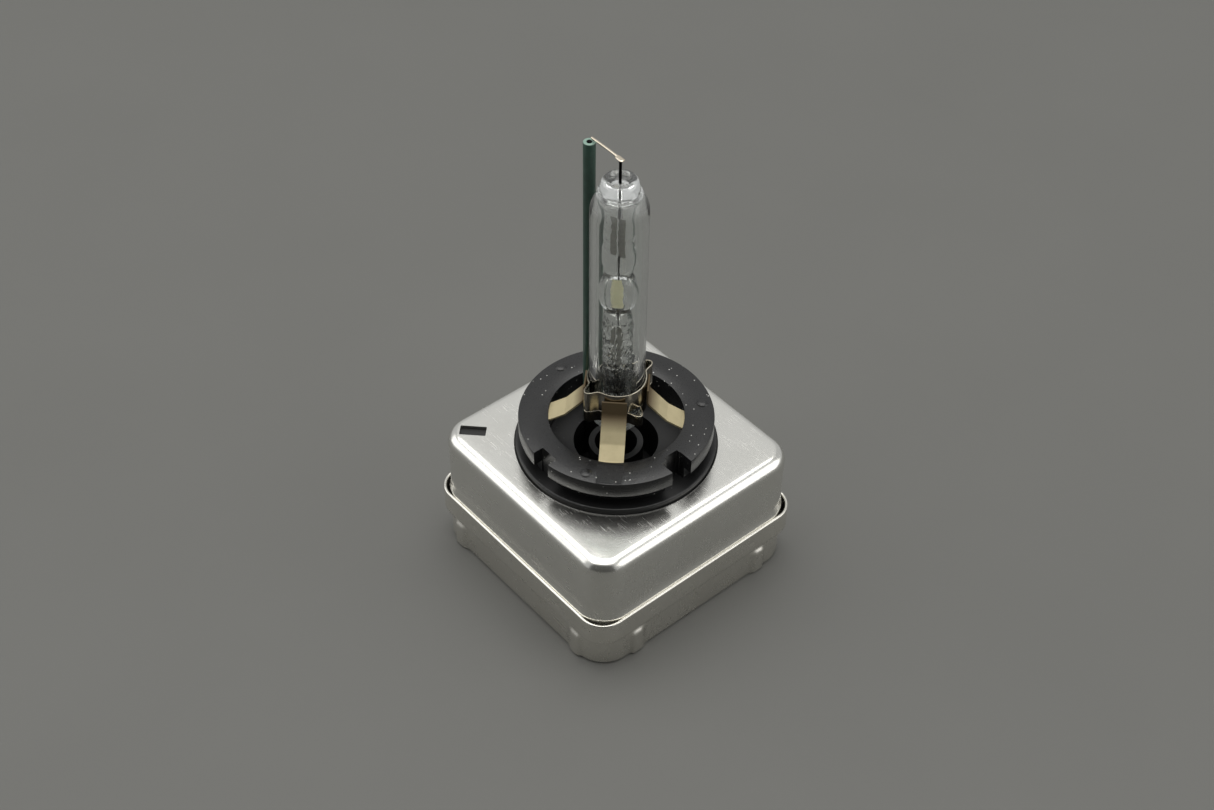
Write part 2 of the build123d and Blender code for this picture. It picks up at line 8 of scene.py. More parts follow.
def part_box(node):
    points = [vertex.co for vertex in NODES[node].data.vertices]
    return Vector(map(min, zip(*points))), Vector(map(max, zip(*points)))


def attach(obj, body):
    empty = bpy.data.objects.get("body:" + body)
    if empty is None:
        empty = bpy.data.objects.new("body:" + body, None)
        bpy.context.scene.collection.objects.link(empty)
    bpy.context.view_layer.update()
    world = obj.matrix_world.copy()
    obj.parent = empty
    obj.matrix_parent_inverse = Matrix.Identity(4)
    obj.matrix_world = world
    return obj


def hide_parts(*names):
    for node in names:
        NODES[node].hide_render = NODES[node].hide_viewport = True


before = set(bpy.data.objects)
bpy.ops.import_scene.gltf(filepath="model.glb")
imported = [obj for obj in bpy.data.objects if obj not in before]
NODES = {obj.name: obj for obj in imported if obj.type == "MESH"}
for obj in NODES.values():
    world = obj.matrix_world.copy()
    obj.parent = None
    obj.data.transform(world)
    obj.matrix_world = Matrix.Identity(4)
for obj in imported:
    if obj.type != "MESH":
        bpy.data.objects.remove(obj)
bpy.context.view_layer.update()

MM = 0.001

# noise_vector takes its offsets from the clock unless a seed is set
noise.seed_set(7)

# ---------------------------------------------------------------- driving sizes, in millimetres


def node_box(node):
    """Lowest and highest corner of a CAD node, in millimetres."""
    low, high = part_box(node)
    return low / MM, high / MM


COVER_LOW, COVER_HIGH = node_box("cover_can")
TRAY_LOW, TRAY_HIGH = node_box("tray_can")
RING_LOW, RING_HIGH = node_box("cap_ring")
BAND_LOW, BAND_HIGH = node_box("clamp_band")
BULB_LOW, BULB_HIGH = node_box("outer_bulb")
ARC_LOW, ARC_HIGH = node_box("arc_tube")
CERAMIC_LOW, CERAMIC_HIGH = node_box("ceramic_tube")
SHROUD_LOW, SHROUD_HIGH = node_box("connector_shroud")

SHEET = 0.5
FLARE_OUT = 0.3
COVER_HALF = COVER_HIGH.x - FLARE_OUT
COVER_TOP = COVER_HIGH.z
COVER_BOTTOM = COVER_LOW.z
COVER_CORNER_R = 4.8
COVER_EDGE_R = 2.0
COVER_HOLE_R = 16.7
SLOT = (4.4, 2.1)
SLOT_PLACE = 16.8

FLOOR = TRAY_LOW.z
TRAY_HALF = TRAY_HIGH.x - 0.02
TRAY_RIM = TRAY_HIGH.z
TRAY_CORNER_R = 4.3
TRAY_STEP = TRAY_RIM - 4.4
STEP_TALL = 0.7
STEP_IN = 0.55
TRAY_LOW_CORNER_R = 5.3
BOTTOM_EDGE_R = 0.5
RIB_HALF_W = 1.9
RIB_FROM = TRAY_RIM - 5.3
RIB_PLACES = (15.1, 13.3)
DIMPLES = (-10.8, 11.3)
DIMPLE_DROP = 2.2
FLARE_TOP = TRAY_RIM + 1.8
FLARE_TALL = 1.6

RING_R = RING_HIGH.y
RING_BORE_R = 11.1
RING_TOP = -0.3
RING_BOTTOM = -3.1
NECK_R = 14.4
NECK_BOTTOM = RING_LOW.z
# bearing, width, radius of its bottom, sideways shift; the last is the deeper step of the wide notch
NOTCHES = ((-90, 3.48, 14.1, 0.14), (0, 4.0, 13.1, 0.12), (0, 2.7, 12.5, 0.65))
PATCH_MIDDLE = 13.7
PATCH_LENGTH = 4.3
BOSS_PITCH_R = 14.3
BOSS_ANGLES = (60, 180, 300)
STRAP_ANGLE = -45
STRAP_W = 4.0

BAND_R = 4.72
BAND_T = 0.2
BAND_LOOPS = (-92, 80)
LOWER_LOOPS = (-92, -4, 80, 170)
LOOP_REACH = 1.72
BAND_SLIT = 4.3

BULB_R = BULB_HIGH.x
ARC_Z = 26.5
LEG_R = 2.45
CAVITY_R = 1.4
CAVITY_HALF = 3.8
ARC_HALF = 3.3
ARC_NECK_R = 1.9
SALT_BEARING = -66
SALT_SPREAD = 50
SALT_LOW = -1.9
SALT_HIGH = 3.2
SALT_GLOW = ("#f3efc4", 0.16)

WIRE_PITCH = 0.157

# ---------------------------------------------------------------- mesh helpers


def finish_piece(name, mesh, finish, stands_for, sharp_deg=32):
    """Puts a mesh in the scene as a piece of the lamp: finish, place on the body, node it stands for."""
    piece = bpy.data.objects.new(name, mesh)
    bpy.context.scene.collection.objects.link(piece)
    mesh.shade_smooth()
    mesh.set_sharp_from_angle(angle=radians(sharp_deg))
    mesh.materials.append(finish)
    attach(piece, "root")
    if stands_for:
        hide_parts(*stands_for)
    return piece


def mesh_from(name, points, faces):
    """A mesh from points in millimetres, with its faces turned outward."""
    mesh = bpy.data.meshes.new(name)
    mesh.from_pydata([Vector(p) * MM for p in points], [], faces)
    mesh.validate()
    bm = bmesh.new()
    bm.from_mesh(mesh)
    bmesh.ops.remove_doubles(bm, verts=bm.verts, dist=1e-7)
    bmesh.ops.recalc_face_normals(bm, faces=bm.faces)
    bm.to_mesh(mesh)
    bm.free()
    return mesh


def skin_loops(loops, closed=True):
    """Quads between neighbouring loops of equal length; closed joins the last loop to the first."""
    count = len(loops[0])
    points = [p for loop in loops for p in loop]
    faces = []
    rows = len(loops) if closed else len(loops) - 1
    for row in range(rows):
        a = row * count
        b = ((row + 1) % len(loops)) * count
        for i in range(count):
            j = (i + 1) % count
            faces.append((a + i, a + j, b + j, b + i))
    return points, faces


def cap_ends(points, faces, count):
    """Closes the first and the last loop of an open skin with one face each."""
    faces.append(tuple(range(count)))
    faces.append(tuple(range(len(points) - count, len(points))))


def turned(profile, steps=160, wobble=None):
    """Loops of a profile of (radius, height) turned about the lamp axis. A zero radius closes the end."""
    loops = []
    for radius, height in profile:
        loop = []
        for i in range(steps):
            angle = 2 * pi * i / steps
            r = radius + (wobble(angle, radius, height) if wobble else 0.0)
            loop.append((r * cos(angle), r * sin(angle), height))
        loops.append(loop)
    return loops


def arc(centre, radius, start, end, steps):
    """Points on a round stretch of a profile, angles in degrees."""
    points = []
    for i in range(steps + 1):
        a = radians(start + (end - start) * i / steps)
        points.append((centre[0] + radius * cos(a), centre[1] + radius * sin(a)))
    return points


def smooth_step(x):
    x = min(1.0, max(0.0, x))
    return x * x * (3 - 2 * x)


def cut_away(piece, cutters):
    """Cuts closed shapes out of a piece, then removes the cutters."""
    for cutter in cutters:
        tool = bpy.data.objects.new("cutter", cutter)
        bpy.context.scene.collection.objects.link(tool)
        cut = piece.modifiers.new("cut", "BOOLEAN")
        cut.operation = "DIFFERENCE"
        cut.solver = "EXACT"
        cut.object = tool
        bpy.context.view_layer.update()
        shaped = bpy.data.meshes.new_from_object(piece.evaluated_get(bpy.context.evaluated_depsgraph_get()))
        piece.modifiers.clear()
        piece.data = shaped
        bpy.data.objects.remove(tool)
    piece.data.shade_smooth()
    piece.data.set_sharp_from_angle(angle=radians(32))


def bar(size, centre, turn_deg=0.0, corner_r=0.25):
    """A box with rounded upright edges, in millimetres, turned about Z."""
    half_x, half_y, half_z = (s / 2 for s in size)
    ring = []
    for sx, sy, start in ((1, 1, 0), (-1, 1, 90), (-1, -1, 180), (1, -1, 270)):
        place = (sx * (half_x - corner_r), sy * (half_y - corner_r))
        ring += arc(place, corner_r, start, start + 90, 5)
    turn = Matrix.Rotation(radians(turn_deg), 4, "Z")
    loops = []
    for z in (-half_z, half_z):
        loops.append([turn @ Vector((x, y, z)) + Vector(centre) for x, y in ring])
    points, faces = skin_loops(loops, closed=False)
    cap_ends(points, faces, len(ring))
    return mesh_from("bar", points, faces)


# ---------------------------------------------------------------- finishes


def linear(hex_colour):
    """sRGB hex to linear RGBA."""
    parts = [int(hex_colour[i:i + 2], 16) / 255 for i in (1, 3, 5)]
    rgb = [c / 12.92 if c <= 0.04045 else ((c + 0.055) / 1.055) ** 2.4 for c in parts]
    return (*rgb, 1.0)


def add(tree, kind, settings=None, links=None):
    """Adds a node: settings by property or socket, links as socket: output."""
    node = tree.nodes.new(kind)
    for key, value in (settings or {}).items():
        if isinstance(key, str) and hasattr(node, key):
            setattr(node, key, value)
        else:
            node.inputs[key].default_value = value
    for key, source in (links or {}).items():
        tree.links.new(source, node.inputs[key])
    return node


def new_finish(name, settings):
    """A material with one shader, and its object coordinates in millimetres."""
    finish = bpy.data.materials.new(name)
    finish.use_nodes = True
    tree = finish.node_tree
    shader = tree.nodes["Principled BSDF"]
    for key, value in settings.items():
        shader.inputs[key].default_value = value
    place = add(tree, "ShaderNodeTexCoord")
    mm = add(tree, "ShaderNodeVectorMath", {"operation": "SCALE", "Scale": 1 / MM},
             {0: place.outputs["Object"]})
    return finish, tree, shader, mm.outputs[0]


def speckle(tree, mm, per_mm, detail=3.0, rough=0.6):
    """Fine noise with its size given as grains per millimetre."""
    return add(tree, "ShaderNodeTexNoise", {"Scale": per_mm, "Detail": detail, "Roughness": rough},
               {"Vector": mm})


def drawn_sheet(name, colour, dark, roughness, scratch_amount):
    """Tin-plated steel sheet, deep drawn and barrel-cleaned: pale grey, soft sheen, fine random scratches."""
    finish, tree, shader, mm = new_finish(name, {"Metallic": 1.0})
    cloud = speckle(tree, mm, 0.12, 4.0)
    tone = add(tree, "ShaderNodeMixRGB", {"Color1": linear(dark), "Color2": linear(colour)},
               {"Fac": cloud.outputs["Fac"]})
    # scratches about 0.2 mm across and 4 mm long, crossed at three angles
    scratch = None
    for turn, across in ((38, 5.0), (-21, 4.0), (80, 6.0)):
        aim = add(tree, "ShaderNodeMapping",
                  {"Rotation": (0, 0, radians(turn)), "Scale": (0.25, across, 1.0)}, {"Vector": mm})
        grain = add(tree, "ShaderNodeTexNoise", {"Scale": 1.0, "Detail": 2.0, "Roughness": 0.7},
                    {"Vector": aim.outputs[0]})
        line = add(tree, "ShaderNodeMapRange", {"From Min": 0.60, "From Max": 0.72, "To Max": 1.0},
                   {"Value": grain.outputs["Fac"]})
        if scratch:
            line = add(tree, "ShaderNodeMath", {"operation": "MAXIMUM"},
                       {0: scratch.outputs[0], 1: line.outputs[0]})
        scratch = line
    patch = speckle(tree, mm, 0.3, 2.0)
    where = add(tree, "ShaderNodeMapRange", {"From Min": 0.4, "From Max": 0.7, "To Max": scratch_amount},
                {"Value": patch.outputs["Fac"]})
    marks = add(tree, "ShaderNodeMath", {"operation": "MULTIPLY"},
                {0: scratch.outputs[0], 1: where.outputs[0]})
    gloss = add(tree, "ShaderNodeMapRange", {"To Min": roughness, "To Max": roughness + 0.16},
                {"Value": marks.outputs[0]})
    mottle = speckle(tree, mm, 1.6, 5.0)
    gloss_mix = add(tree, "ShaderNodeMath", {"operation": "MULTIPLY_ADD", 1: 0.10},
                    {0: mottle.outputs["Fac"], 2: gloss.outputs[0]})
    bump = add(tree, "ShaderNodeBump", {"Strength": 0.10, "Distance": 0.00002}, {"Height": marks.outputs[0]})
    fine = speckle(tree, mm, 7.0, 2.0)
    bump2 = add(tree, "ShaderNodeBump", {"Strength": 0.06, "Distance": 0.00002},
                {"Height": fine.outputs["Fac"], "Normal": bump.outputs[0]})
    tree.links.new(tone.outputs[0], shader.inputs["Base Color"])
    tree.links.new(gloss_mix.outputs[0], shader.inputs["Roughness"])
    tree.links.new(bump2.outputs[0], shader.inputs["Normal"])
    return finish


def moulded_plastic(name, colour, fleck, roughness, fleck_amount, grain_bump):
    """Glass-filled polymer, moulded: dark grey skin with a fine grain and pale fibre flecks."""
    finish, tree, shader, mm = new_finish(name, {"IOR": 1.55})
    base = speckle(tree, mm, 0.7, 4.0)
    tone = add(tree, "ShaderNodeMapRange", {"To Min": 0.75, "To Max": 1.25}, {"Value": base.outputs["Fac"]})
    body = add(tree, "ShaderNodeVectorMath", {"operation": "SCALE", 0: linear(colour)[:3]},
               {"Scale": tone.outputs[0]})
    # flecks about 0.2 mm across, one in every few square millimetres
    spots = add(tree, "ShaderNodeTexVoronoi", {"Scale": 2.6}, {"Vector": mm})
    near = add(tree, "ShaderNodeMapRange", {"From Min": 0.20, "From Max": 0.32, "To Min": 1.0, "To Max": 0.0},
               {"Value": spots.outputs["Distance"]})
    few = add(tree, "ShaderNodeSeparateColor", {}, {0: spots.outputs["Color"]})
    chosen = add(tree, "ShaderNodeMath", {"operation": "LESS_THAN", 1: fleck_amount}, {0: few.outputs[0]})
    dots = add(tree, "ShaderNodeMath", {"operation": "MULTIPLY"}, {0: near.outputs[0], 1: chosen.outputs[0]})
    mixed = add(tree, "ShaderNodeMixRGB", {"Color2": linear(fleck)},
                {"Fac": dots.outputs[0], "Color1": body.outputs[0]})
    grain = speckle(tree, mm, 6.0, 4.0)
    gloss = add(tree, "ShaderNodeMapRange", {"To Min": roughness - 0.1, "To Max": roughness + 0.12},
                {"Value": grain.outputs["Fac"]})
    bump = add(tree, "ShaderNodeBump", {"Strength": grain_bump, "Distance": 0.00004},
               {"Height": grain.outputs["Fac"]})
    tree.links.new(mixed.outputs[0], shader.inputs["Base Color"])
    tree.links.new(gloss.outputs[0], shader.inputs["Roughness"])
    tree.links.new(bump.outputs[0], shader.inputs["Normal"])
    return finish


def rolled_metal(name, colour, dark, roughness, along=(0.4, 9.0, 0.4), stain=0.35,
                 shade_from_height=None, metal=1.0):
    """Plated strip or wire, rolled: fine grain lines, and from a height up a painted dark brown shade, for
    the dark well that the upright ears mirror.

    A metal share under 1 is a dulled satin skin that shows nearly the same tone at every slope."""
    finish, tree, shader, mm = new_finish(name, {"Metallic": metal})
    aim = add(tree, "ShaderNodeMapping", {"Scale": along}, {"Vector": mm})
    lines = add(tree, "ShaderNodeTexNoise", {"Scale": 1.0, "Detail": 3.0}, {"Vector": aim.outputs[0]})
    cloud = speckle(tree, mm, 0.5, 3.0)
    amount = add(tree, "ShaderNodeMapRange", {"From Min": 0.45, "From Max": 0.75, "To Max": stain},
                 {"Value": cloud.outputs["Fac"]})
    tone = add(tree, "ShaderNodeMixRGB", {"Color1": linear(colour), "Color2": linear(dark)},
               {"Fac": amount.outputs[0]})
    # painted shade: from the given height up the tone is mixed toward dark brown, a painted reflection of the
    # dark well in the upright ears
    if shade_from_height:
        height = add(tree, "ShaderNodeSeparateXYZ", {}, {0: mm})
        painted_ear_shade = add(tree, "ShaderNodeMapRange", {"From Min": shade_from_height, "From Max": shade_from_height + 1.8,
                                                 "To Max": 0.85}, {"Value": height.outputs["Z"]})
        tone = add(tree, "ShaderNodeMixRGB", {"Color2": linear("#4e3a24")},
                   {"Fac": painted_ear_shade.outputs[0], "Color1": tone.outputs[0]})
    gloss = add(tree, "ShaderNodeMapRange", {"To Min": roughness - 0.06, "To Max": roughness + 0.1},
                {"Value": lines.outputs["Fac"]})
    bump = add(tree, "ShaderNodeBump", {"Strength": 0.12, "Distance": 0.00002},
               {"Height": lines.outputs["Fac"]})
    tree.links.new(tone.outputs[0], shader.inputs["Base Color"])
    tree.links.new(gloss.outputs[0], shader.inputs["Roughness"])
    tree.links.new(bump.outputs[0], shader.inputs["Normal"])
    return finish


def clear_glass(name, colour, ior, ripple, ripple_per_mm, milky_from=None):
    """Fire-polished glass: clear, with slow ripples from the flame. A melted end is a little milky."""
    finish, tree, shader, mm = new_finish(name, {"Base Color": linear(colour), "Roughness": 0.0, "IOR": ior,
                                                  "Transmission Weight": 1.0})
    wave = speckle(tree, mm, ripple_per_mm, 2.0)
    bump = add(tree, "ShaderNodeBump", {"Strength": ripple, "Distance": 0.00006},
               {"Height": wave.outputs["Fac"]})
    tree.links.new(bump.outputs[0], shader.inputs["Normal"])
    if milky_from:
        height = add(tree, "ShaderNodeSeparateXYZ", {}, {0: mm})
        clear = add(tree, "ShaderNodeMapRange",
                    {"From Min": milky_from, "From Max": milky_from + 1.0, "To Min": 1.0, "To Max": 0.91},
                    {"Value": height.outputs["Z"]})
        tree.links.new(clear.outputs[0], shader.inputs["Transmission Weight"])
    return finish


def milky_glass():
    """Glass melted and crazed at the foot: milky, half clear, full of fine bright facets."""
    finish, tree, shader, mm = new_finish("milky_fused_glass", {"Base Color": linear("#f6faf8"), "IOR": 1.47,
                                                                 "Transmission Weight": 0.55})
    facets = add(tree, "ShaderNodeTexVoronoi", {"Scale": 2.4}, {"Vector": mm})
    gloss = add(tree, "ShaderNodeMapRange", {"From Max": 0.5, "To Min": 0.05, "To Max": 0.4},
                {"Value": facets.outputs["Distance"]})
    bump = add(tree, "ShaderNodeBump", {"Strength": 0.7, "Distance": 0.0002},
               {"Height": facets.outputs["Distance"]})
    tree.links.new(gloss.outputs[0], shader.inputs["Roughness"])
    tree.links.new(bump.outputs[0], shader.inputs["Normal"])
    return finish


def plain_solid(name, colour, dark, roughness, per_mm, metallic=0.0, bump_strength=0.15, glow=None):
    """A solid with a cloudy two-tone surface and a fine grain, for moulded, sintered and lacquered parts."""
    finish, tree, shader, mm = new_finish(name, {"Metallic": metallic})
    if glow:
        glow_colour, strength = glow
        shader.inputs["Emission Color"].default_value = linear(glow_colour)
        shader.inputs["Emission Strength"].default_value = strength
    cloud = speckle(tree, mm, per_mm, 4.0)
    tone = add(tree, "ShaderNodeMixRGB", {"Color1": linear(dark), "Color2": linear(colour)},
               {"Fac": cloud.outputs["Fac"]})
    gloss = add(tree, "ShaderNodeMapRange", {"To Min": roughness - 0.08, "To Max": roughness + 0.08},
                {"Value": cloud.outputs["Fac"]})
    grain = speckle(tree, mm, per_mm * 6, 2.0)
    bump = add(tree, "ShaderNodeBump", {"Strength": bump_strength, "Distance": 0.00003},
               {"Height": grain.outputs["Fac"]})
    tree.links.new(tone.outputs[0], shader.inputs["Base Color"])
    tree.links.new(gloss.outputs[0], shader.inputs["Roughness"])
    tree.links.new(bump.outputs[0], shader.inputs["Normal"])
    return finish


def glazed_ceramic():
    """Alumina tube with a dark green glaze: glossy green wall, pale unglazed end."""
    finish, tree, shader, mm = new_finish("glazed_ceramic", {"Roughness": 0.28, "IOR": 1.6})
    cloud = speckle(tree, mm, 1.2, 4.0)
    glaze = add(tree, "ShaderNodeMixRGB", {"Color1": linear("#22372f"), "Color2": linear("#3c5a4e")},
                {"Fac": cloud.outputs["Fac"]})
    height = add(tree, "ShaderNodeSeparateXYZ", {}, {0: mm})
    end = add(tree, "ShaderNodeMapRange",
              {"From Min": CERAMIC_HIGH.z - 0.1, "From Max": CERAMIC_HIGH.z - 0.02},
              {"Value": height.outputs["Z"]})
    tone = add(tree, "ShaderNodeMixRGB", {"Color2": linear("#86a396")},
               {"Fac": end.outputs[0], "Color1": glaze.outputs[0]})
    grain = speckle(tree, mm, 5.0, 3.0)
    bump = add(tree, "ShaderNodeBump", {"Strength": 0.15, "Distance": 0.00003},
               {"Height": grain.outputs["Fac"]})
    tree.links.new(tone.outputs[0], shader.inputs["Base Color"])
    tree.links.new(bump.outputs[0], shader.inputs["Normal"])
    return finish


def wound_copper():
    """Enamelled copper wire, wound: close rows of thin turns, warm orange-brown."""
    finish, tree, shader, mm = new_finish("wound_copper", {"Metallic": 1.0, "Roughness": 0.3})
    turns = add(tree, "ShaderNodeTexWave",
                {"Scale": 2 * pi / (20 * WIRE_PITCH), "Distortion": 0.6, "Detail": 1.0}, {"Vector": mm})
    tone = add(tree, "ShaderNodeMixRGB", {"Color1": linear("#6b2f14"), "Color2": linear("#c9783f")},
               {"Fac": turns.outputs["Fac"]})
    bump = add(tree, "ShaderNodeBump", {"Strength": 0.6, "Distance": 0.0001},
               {"Height": turns.outputs["Fac"]})
    tree.links.new(tone.outputs[0], shader.inputs["Base Color"])
    tree.links.new(bump.outputs[0], shader.inputs["Normal"])
    return finish


def studio_cloth(name, light, dark, roughness):
    """Matt painted board or cloth: plain, with a faint slow mottle."""
    finish, tree, shader, mm = new_finish(name, {"Roughness": roughness})
    cloud = speckle(tree, mm, 0.02, 5.0)
    tone = add(tree, "ShaderNodeMixRGB", {"Color1": linear(dark), "Color2": linear(light)},
               {"Fac": cloud.outputs["Fac"]})
    tree.links.new(tone.outputs[0], shader.inputs["Base Color"])
    return finish


COVER_TIN = drawn_sheet("tinned_sheet_cover", "#f3f2ee", "#e9e8e2", 0.17, 1.0)
TRAY_TIN = drawn_sheet("tinned_sheet_tray", "#efede7", "#e2dfd6", 0.20, 0.5)
RING_POLYMER = moulded_plastic("moulded_ring_polymer", "#19191a", "#d2d2ce", 0.29, 0.045, 0.35)
BASE_POLYMER = moulded_plastic("moulded_base_polymer", "#0f0f10", "#5a5a58", 0.40, 0.02, 0.3)
# the straps get a painted dark brown shade from 2.2 mm up, on their upright ears
STRAP_NICKEL = rolled_metal("nickel_plated_strap", "#c4b894", "#a69a78", 0.60, (0.6, 0.6, 6.0), 0.3,
                            shade_from_height=2.2, metal=0.35)
SPRING_STEEL = rolled_metal("bright_spring_steel", "#cfc8b8", "#8f8470", 0.16, (0.5, 0.5, 5.0), 0.5)
BULB_GLASS = clear_glass("drawn_bulb_glass", "#fdfffe", 1.47, 0.10, 0.35, 42.0)
MILKY_GLASS = milky_glass()
QUARTZ = clear_glass("fused_quartz", "#ffffff", 1.46, 0.45, 1.6)
TUNGSTEN = plain_solid("ground_tungsten", "#3c3a38", "#232221", 0.45, 4.0, metallic=1.0)
MOLYBDENUM = plain_solid("etched_molybdenum_foil", "#d2d0ca", "#8b8983", 0.5, 2.6, metallic=1.0)
OXIDISED_LEAD = plain_solid("oxidised_molybdenum_wire", "#1d1d1e", "#0f0f10", 0.5, 5.0, metallic=1.0)
# the salt isn't luminous: its faint glow stands in for light that the glass round it holds back in a render
HALIDE_SALT = plain_solid("dried_halide_salt", "#fbf8d8", "#efe9bd", 0.85, 1.4, bump_strength=0.6,
                          glow=SALT_GLOW)
GREEN_CERAMIC = glazed_ceramic()
NICKEL_WIRE = rolled_metal("drawn_nickel_wire", "#efe4d2", "#b9a88c", 0.2, (5.0, 0.8, 0.8), 0.3)
HOUSING_POLYMER = moulded_plastic("moulded_housing_polymer", "#161617", "#484846", 0.45, 0.02, 0.3)
CONNECTOR_POLYMER = moulded_plastic("moulded_connector_polymer", "#1c1c1e", "#4c4c4a", 0.42, 0.02, 0.3)
SEALING_GEL = plain_solid("cast_sealing_gel", "#6b6350", "#5a5343", 0.3, 0.5)
BOARD_LAMINATE = plain_solid("masked_board_laminate", "#1f5a33", "#174526", 0.35, 1.2)
TINNED_PIN = rolled_metal("tinned_brass_pin", "#dcd8cf", "#a8a296", 0.24, (1.0, 1.0, 6.0), 0.3)
FERRITE = plain_solid("sintered_ferrite", "#3a3a3c", "#2a2a2c", 0.55, 3.0)
BOBBIN_POLYMER = plain_solid("moulded_bobbin_polymer", "#cfc9b5", "#c2bba5", 0.45, 1.0)
WOUND_COPPER = wound_copper()
ALUMINA = plain_solid("white_alumina", "#e4e0d8", "#d6d1c6", 0.5, 2.0)
GAP_STEEL = rolled_metal("plated_gap_steel", "#c6c5c1", "#96938c", 0.3, (1.0, 4.0, 1.0), 0.3)
CAPACITOR_COAT = plain_solid("dipped_capacitor_coat", "#b5531f", "#9b4317", 0.3, 0.8)
RESISTOR_COAT = plain_solid("lacquered_resistor", "#6d8fa6", "#5b7a8f", 0.32, 1.5)

# ---------------------------------------------------------------- metal cans


def square_loop(half, corner_r, z, side_steps=110, corner_steps=16):
    """Points round a square with rounded corners, the same number at the same places for every size."""
    corner_r = max(corner_r, 0.02)
    straight = half - corner_r
    loop = []
    for quarter in range(4):
        turn = quarter * pi / 2
        for i in range(side_steps):
            x = straight * (2 * i / side_steps - 1)
            loop.append((x * cos(turn) + half * sin(turn), x * sin(turn) - half * cos(turn), z))
        for i in range(corner_steps):
            a = -pi / 2 + (pi / 2) * i / corner_steps
            x = straight + corner_r * cos(a)
            y = -straight + corner_r * sin(a)
            loop.append((x * cos(turn) - y * sin(turn), x * sin(turn) + y * cos(turn), z))
    return loop


def round_loop(radius, z, like):
    """A circle whose points lie at the same bearings as those of another loop."""
    loop = []
    for x, y, _ in like:
        r = hypot(x, y)
        loop.append((radius * x / r, radius * y / r, z))
    return loop


def between(loop_a, loop_b, share):
    return [tuple(a + (b - a) * share for a, b in zip(p, q)) for p, q in zip(loop_a, loop_b)]


def settle(points, depth):
    """Slow hollows of a drawn sheet, so that its reflections aren't ruler-straight."""
    settled = []
    for p in points:
        v = Vector(p)
        push = noise.noise_vector(v * 0.07) * depth
        settled.append(v + Vector((push.x, push.y, 0)))
    return settled


def cover_can():
    """The cover: flat top with the round hole, soft drawn edges, straight walls, open below."""
    top = COVER_TOP
    under = top - SHEET
    flat_out = square_loop(COVER_HALF - COVER_EDGE_R, COVER_CORNER_R - COVER_EDGE_R, top)
    hole = round_loop(COVER_HOLE_R + 0.12, top, flat_out)
    loops = [round_loop(COVER_HOLE_R, under, flat_out), round_loop(COVER_HOLE_R, top - 0.12, flat_out)]
    loops += [between(hole, flat_out, share) for share in (0.0, 0.25, 0.5, 0.75, 1.0)]
    for step in range(1, 9):
        a = radians(90 * step / 8)
        inset = COVER_EDGE_R * (1 - sin(a))
        z = top - COVER_EDGE_R * (1 - cos(a))
        loops.append(square_loop(COVER_HALF - inset, COVER_CORNER_R - inset, z))
    for share in (0.3, 0.6, 0.95):
        loops.append(square_loop(COVER_HALF, COVER_CORNER_R, top - COVER_EDGE_R
                                 + (FLARE_TOP - top + COVER_EDGE_R) * share))
    for step in range(9):
        out = FLARE_OUT * (step / 8) ** 2
        loops.append(square_loop(COVER_HALF + out, COVER_CORNER_R + out, FLARE_TOP - FLARE_TALL * step / 8))
    loops.append(square_loop(COVER_HALF + FLARE_OUT, COVER_CORNER_R + FLARE_OUT, COVER_BOTTOM))
    inner_r = COVER_EDGE_R - SHEET
    for z in (COVER_BOTTOM, FLARE_TOP - FLARE_TALL):
        loops.append(square_loop(COVER_HALF - SHEET + FLARE_OUT, COVER_CORNER_R - SHEET + FLARE_OUT, z))
    for share in (0.9, 0.5, 0.0):
        z = top - COVER_EDGE_R + (FLARE_TOP - top + COVER_EDGE_R) * share
        loops.append(square_loop(COVER_HALF - SHEET, COVER_CORNER_R - SHEET, z))
    for step in range(5, -1, -1):
        a = radians(90 * step / 6)
        inset = SHEET + inner_r * (1 - sin(a))
        z = under - inner_r * (1 - cos(a))
        loops.append(square_loop(COVER_HALF - inset, COVER_CORNER_R - inset, z))
    points, faces = skin_loops(loops)
    mesh = mesh_from("cover_can_drawn", settle(points, 0.02), faces)
    can = finish_piece("cover_can_drawn", mesh, COVER_TIN, ["cover_can"])
    slot = bar((SLOT[0], SLOT[1], 3.0), (-SLOT_PLACE, -SLOT_PLACE, top), 45, 0.15)
    wide = SHROUD_HIGH.x - SHROUD_LOW.x + 0.6
    tall = SHROUD_HIGH.z - SHROUD_LOW.z + 0.6
    middle = (SHROUD_HIGH.z + SHROUD_LOW.z) / 2
    window = bar((wide, 6.0, tall), (0, COVER_HALF, middle), 0, 0.3)
    cut_away(can, [slot, window])
    return can


def along_wall(x, y):
    """Place along the nearest wall, and its pair of walls: 0 for front and back, 1 for the sides."""
    if abs(y) > abs(x):
        return x, 0
    return y, 1


def press_marks(x, y, z):
    """Small round press marks on each wall, under the rim."""
    along, _ = along_wall(x, y)
    depth = 0.0
    for place in DIMPLES:
        far = hypot(along - place, z - (TRAY_RIM - DIMPLE_DROP))
        depth += 0.20 * exp(-(far / 0.32) ** 2)
    return depth


def rib_height(x, y, z):
    """Ribs near the corners, pressed outward from the lower band until flush with the upper one."""
    along, pair = along_wall(x, y)
    side = smooth_step((RIB_HALF_W - abs(abs(along) - RIB_PLACES[pair])) / 1.3)
    return STEP_IN * side * smooth_step((RIB_FROM + 0.3 - z) / 1.2)


def tray_wall_loop(z, inset=0.0):
    """One level of the tray's outer wall: plain above the step, drawn in and ribbed below it."""
    fall = smooth_step((TRAY_STEP - z) / STEP_TALL)
    half = TRAY_HALF - STEP_IN * fall
    corner = TRAY_CORNER_R + (TRAY_LOW_CORNER_R - TRAY_CORNER_R) * fall
    loop = []
    for x, y, _ in square_loop(half, corner, z):
        grow = 1 + (rib_height(x, y, z) - press_marks(x, y, z) - inset) / TRAY_HALF
        loop.append((x * grow, y * grow, z))
    return loop


